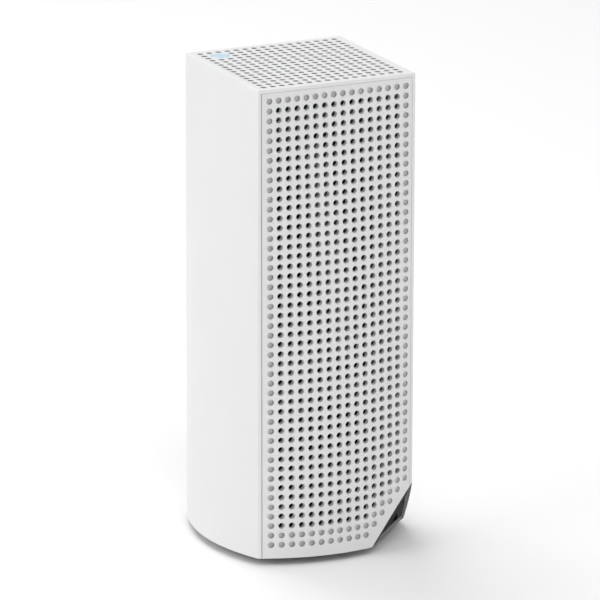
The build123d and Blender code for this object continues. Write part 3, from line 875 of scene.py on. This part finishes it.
def frosted(name, rgb):
    """Translucent light pipe: frosted skin over a pale cyan body, glowing faintly."""
    m = Material(name)
    cloud = m.noise(scale=420.0, detail=3.0, rough=0.6)
    colour = m.mix(m.remap(cloud), shade(rgb, 0.95), shade(rgb, 1.04))
    m.drive(Base_Color=colour)
    m.drive(Roughness=m.remap(m.noise(scale=2600.0), target=(0.30, 0.46)))
    m.drive(Normal=m.bump(m.noise(scale=3600.0), strength=0.2, distance=0.00002))
    m.drive(Emission_Color=colour)
    m.set(Emission_Strength=0.03, Subsurface_Weight=0.3, Subsurface_Scale=0.001)
    return m.material


WHITE = (0.78, 0.782, 0.788)
BOARD_ALUMINIUM = dict(rgb=(0.30, 0.30, 0.31), rough=0.42, brush=(900.0, 900.0, 40.0), dull=0.3)
OUTER_WHITE = dict(grain=3000.0, strength=0.16, mottle=0.008, edge=0.05, sss=0.05)
# painted glow round the light pipe: centre, inner and outer radius in metres, colour
LENS_PAINTED_GLOW = ((LENS_X * MM, LENS_Y * MM, TOP * MM), 0.0034, 0.0043, (0.66, 0.82, 0.86))

MATERIALS = {
    "white_shell": plastic("shell white", WHITE, rough=0.46, glow=LENS_PAINTED_GLOW, **OUTER_WHITE),
    "white_vent": plastic("vent white", shade(WHITE, 0.985), rough=0.48, **OUTER_WHITE),
    "lens": frosted("light pipe", (0.53, 0.70, 0.775)),
    "base_grey": plastic("base mid grey", (0.165, 0.168, 0.173), rough=0.65, grain=2200.0,
                         strength=0.35, mottle=0.06, edge=0.05, specular=0.25),
    "dark_plastic": plastic("well dark grey", (0.030, 0.031, 0.033), rough=0.8, grain=2200.0,
                            strength=0.35, mottle=0.06, edge=0.05, specular=0.06),
    "foot_rubber": rubber("foot rubber", (0.035, 0.035, 0.037)),
    "jack_plastic": plastic("jack black", (0.020, 0.020, 0.022), rough=0.38, grain=4200.0,
                            strength=0.15, mottle=0.05, edge=0.04),
    "power_plastic": plastic("power black", (0.022, 0.022, 0.024), rough=0.42, grain=3800.0,
                             strength=0.2, mottle=0.05, edge=0.05),
    "contact_gold": metal("contact gold", (0.86, 0.62, 0.26), rough=0.24,
                          brush=(900.0, 900.0, 80.0)),
    "steel": metal("zinc steel", (0.60, 0.61, 0.63), rough=0.32, brush=(300.0, 300.0, 300.0)),
    "rocker_black": plastic("rocker black", (0.018, 0.018, 0.019), rough=0.30, grain=4200.0,
                            strength=0.12, mottle=0.05, edge=0.06),
    "button_red": plastic("button red", (0.42, 0.020, 0.016), rough=0.33, grain=4200.0,
                          strength=0.12, mottle=0.04, edge=0.05,
                          stem=(0.0410, (0.03, 0.03, 0.032))),
    "board": laminate("board green", (0.012, 0.070, 0.030)),
    "chip": plastic("chip black", (0.022, 0.022, 0.022), rough=0.52, grain=5200.0,
                    strength=0.3, mottle=0.05, edge=0.03),
    "pad": rubber("thermal pad", (0.30, 0.33, 0.42)),
    "sink_aluminium": metal("sink aluminium", **BOARD_ALUMINIUM),
    "spreader_aluminium": metal("spreader aluminium", **BOARD_ALUMINIUM),
    "shield_tin": metal("shield tin", (0.62, 0.62, 0.60), rough=0.28, brush=(500.0, 500.0, 60.0)),
    "frame_plastic": plastic("frame dark", (0.16, 0.161, 0.165), rough=0.6, grain=2200.0,
                             strength=0.3, mottle=0.06, edge=0.03),
    "antenna_board": laminate("antenna board", (0.020, 0.022, 0.024)),
    "cable_black": rubber("cable jacket", (0.018, 0.018, 0.018), rough=0.5),
    "led": plastic("lamp epoxy", (0.75, 0.72, 0.52), rough=0.2, grain=5000.0,
                   strength=0.05, mottle=0.02, edge=0.0),
    "connector": plastic("connector nylon", (0.70, 0.66, 0.54), rough=0.45, grain=4000.0,
                         strength=0.15, mottle=0.03, edge=0.03),
}

# inside the perforations the walls and blind floors are rougher and coloured darker, as painted
# shade in the hollows; blind and top hole walls are darker still; the slanted cut is dark grey
DULL = dict(rough=0.65, grain=2600.0, strength=0.3, mottle=0.03, edge=0.0, specular=0.3)
DARK = dict(grain=2400.0, strength=0.3, mottle=0.05, edge=0.03)
HOLE_WALL_PAINTED_SHADE = plastic("vent hole painted wall shade", (0.67, 0.67, 0.675), rough=0.6, grain=2600.0,
                    strength=0.3, mottle=0.02, edge=0.0)
PANEL_CUT = plastic("panel cut dark", (0.034, 0.035, 0.037), rough=0.8, specular=0.06, **DARK)
# dark grey on the white clips: painted shade for where they stand behind the vents
CLIP_PAINTED_SHADE = plastic("clip painted shade", (0.070, 0.071, 0.074), rough=0.7, specular=0.15, **DARK)
BLIND_WALL_PAINTED_SHADE = plastic("vent blind painted wall shade", (0.42, 0.422, 0.426), **DULL)
BLIND_FLOOR_PAINTED_SHADE = plastic("vent blind painted floor shade", (0.69, 0.692, 0.697), **DULL)
TOP_HOLE_PAINTED_SHADE = plastic("top hole painted wall shade", (0.43, 0.432, 0.436), **DULL)
CUT_EDGE = plastic("cut edge dark", (0.105, 0.106, 0.110), rough=0.75, specular=0.12, **DARK)


def paint(part, slot, *materials):
    """Gives a part its materials, in the order of the finishes."""
    for material in materials:
        part.data.materials.append(material)


slot_of = {entry["node"]: entry["material_slot"] for entry in frame["record"]["subparts"]}
for node, part in frame["nodes"].items():
    part.data.materials.clear()
    part.data.materials.append(MATERIALS[slot_of[node]])
paint(panel, "white_vent", MATERIALS["white_vent"], HOLE_WALL_PAINTED_SHADE, BLIND_FLOOR_PAINTED_SHADE, PANEL_CUT, BLIND_WALL_PAINTED_SHADE)
paint(sleeve, "white_shell", MATERIALS["white_shell"], TOP_HOLE_PAINTED_SHADE, TOP_HOLE_PAINTED_SHADE, CUT_EDGE, TOP_HOLE_PAINTED_SHADE)
paint(lens, "lens", MATERIALS["lens"])
# the clips are white plastic; they stand in the dark behind the vents and take a dark grey as
# painted shade
paint(clips, "white_vent", CLIP_PAINTED_SHADE)

# --------------------------------------------------------------------------
# moulded and stamped edges of the remaining parts: weld, merge flats, round
# --------------------------------------------------------------------------
EDGE_WIDTHS = {                          # node: bevel width in millimetres
    "base_plate": 0.25, "port_well": 0.30, "rubber_foot": 0.35, "ethernet_jack_a": 0.22,
    "ethernet_jack_b": 0.22, "power_jack": 0.22, "rocker_housing": 0.25, "power_rocker": 0.30,
    "reset_switch": 0.18, "port_board": 0.10, "line_transformers": 0.25,
    "filter_capacitors": 0.35, "chassis_frame": 0.25, "main_board": 0.10,
    "board_connector": 0.25, "processor": 0.10, "memory_chips": 0.10, "switch_chip": 0.10,
    "flash_chip": 0.10, "heat_sink": 0.15, "heat_spreader": 0.15, "radio_shields": 0.08,
    "radio_chips": 0.10, "antennas_high_band": 0.05, "antennas_low_band": 0.05,
    "led_board": 0.10, "status_led": 0.15, "rocker_terminals": 0.08, "ethernet_contacts": 0.05,
}


def round_edges(part, width):
    weld = part.modifiers.new("weld", "WELD")
    weld.merge_threshold = 2e-6
    flats = part.modifiers.new("flats", "DECIMATE")
    flats.decimate_type = "DISSOLVE"
    flats.angle_limit = math.radians(1.0)
    bevel = part.modifiers.new("edges", "BEVEL")
    bevel.limit_method = "ANGLE"
    bevel.angle_limit = math.radians(42)
    bevel.width = width * MM
    bevel.segments = 2
    bevel.use_clamp_overlap = True
    bevel.harden_normals = False
    part.data.shade_smooth()
    normals = part.modifiers.new("normals", "WEIGHTED_NORMAL")
    normals.keep_sharp = True


for node, width in EDGE_WIDTHS.items():
    round_edges(frame["nodes"][node], width)

# --------------------------------------------------------------------------
# stage, in metres: pale floor, soft studio light, the camera
# --------------------------------------------------------------------------
PURE_WHITE = (1.0, 1.0, 1.0, 1.0)
FILL_LIGHT = 0.43
BACKDROP = 0.94                          # brightness the camera sees past the floor


def floor_material():
    """Pale floor that fades into the backdrop far out, so no horizon shows."""
    m = Material("floor")
    clouds = m.remap(m.noise(scale=3.0))
    m.drive(Base_Color=m.mix(clouds, (0.965, 0.965, 0.965), (0.975, 0.975, 0.975)))
    m.set(Roughness=0.9, Specular_IOR_Level=0.1)
    reach = m.node("ShaderNodeVectorMath", operation="LENGTH")
    m.link(m.coord, reach.inputs[0])
    seen = m.node("ShaderNodeLightPath")
    far = m.remap(reach.outputs["Value"], source=(0.7, 1.8))
    fade = m.math("MULTIPLY", far, seen.outputs["Is Camera Ray"])
    haze = m.node("ShaderNodeEmission")
    haze.inputs[0].default_value = PURE_WHITE
    haze.inputs[1].default_value = BACKDROP
    blend = m.node("ShaderNodeMixShader")
    m.link(fade, blend.inputs[0])
    m.link(m.bsdf.outputs[0], blend.inputs[1])
    m.link(haze.outputs[0], blend.inputs[2])
    m.link(blend.outputs[0], m.output.inputs[0])
    return m.material


def build_floor():
    reach, z = 6.0, -5e-5
    corners = [(-reach, -reach, z), (reach, -reach, z), (reach, reach, z), (-reach, reach, z)]
    mesh = bpy.data.meshes.new("floor")
    mesh.from_pydata(corners, [], [(0, 1, 2, 3)])
    floor = bpy.data.objects.new("floor", mesh)
    bpy.context.scene.collection.objects.link(floor)
    mesh.materials.append(floor_material())


def build_world():
    """Even fill light, and a brighter backdrop where the camera looks past the floor."""
    world = bpy.data.worlds.new("studio")
    bpy.context.scene.world = world
    world.use_nodes = True
    nodes, links = world.node_tree.nodes, world.node_tree.links
    fill = nodes["Background"]
    backdrop = nodes.new("ShaderNodeBackground")
    for background, strength in ((fill, FILL_LIGHT), (backdrop, BACKDROP)):
        background.inputs[0].default_value = PURE_WHITE
        background.inputs[1].default_value = strength
    path = nodes.new("ShaderNodeLightPath")
    either = nodes.new("ShaderNodeMixShader")
    links.new(path.outputs["Is Camera Ray"], either.inputs[0])
    links.new(fill.outputs[0], either.inputs[1])
    links.new(backdrop.outputs[0], either.inputs[2])
    links.new(either.outputs[0], nodes["World Output"].inputs["Surface"])


MIDDLE = (0.0, 0.0, 0.09)
LIGHTS = (                               # name, place, target, size, power in watts
    ("left_back", (-1.3, 0.9, 0.9), MIDDLE, 1.0, 3.9),
    ("left", (-1.6, 0.0, 0.7), MIDDLE, 0.8, 5.0),
    ("top_front", (-0.1, -0.8, 1.45), MIDDLE, 0.8, 6.5),
    ("top_back", (-0.1, 1.0, 1.5), (0.0, 0.25, 0.0), 1.0, 12.5),
    ("front_left", (-0.7, -1.6, 0.5), MIDDLE, 0.8, 2.6),
    ("right", (1.6, -0.3, 0.9), MIDDLE, 1.0, 2.6),
)


def area_light(name, place, target, size, power):
    light = bpy.data.lights.new(name, "AREA")
    light.energy = power
    light.shape = "RECTANGLE"
    light.size = size
    light.size_y = size
    lamp = bpy.data.objects.new(name, light)
    bpy.context.scene.collection.objects.link(lamp)
    lamp.location = place
    direction = Vector(target) - Vector(place)
    lamp.rotation_euler = direction.to_track_quat("-Z", "Y").to_euler()


def build_camera():
    camera = bpy.data.cameras.new("camera")
    holder = bpy.data.objects.new("camera", camera)
    bpy.context.scene.collection.objects.link(holder)
    camera.sensor_width = 36.0           # millimetres, as is the lens
    camera.lens = 327.948
    camera.shift_x = -0.00128333333      # shifts are parts of the picture's width
    camera.shift_y = 0.0003
    camera.clip_start = 0.05
    camera.clip_end = 50.0
    right = Vector((0.90254841, -0.43058133, 0.0024685))
    up = Vector((0.12012856, 0.25730035, 0.95883557))
    forward = Vector((0.41349184, 0.86509898, -0.28395114))
    rotation = Matrix((right, up, -forward)).transposed().to_4x4()
    # set out in hole pitches from the middle of the top
    eye = Vector((-229.0315 * PITCH, -479.5757 * PITCH, 132.5950 * PITCH + TOP)) * MM
    holder.matrix_world = Matrix.Translation(eye) @ rotation
    bpy.context.scene.camera = holder


build_floor()
build_world()
for row in LIGHTS:
    area_light(*row)
build_camera()

view = bpy.context.scene.view_settings
view.view_transform = "Standard"
view.look = "None"
view.exposure = 0.0

# --------------------------------------------------------------------------
bpy.context.view_layer.update()
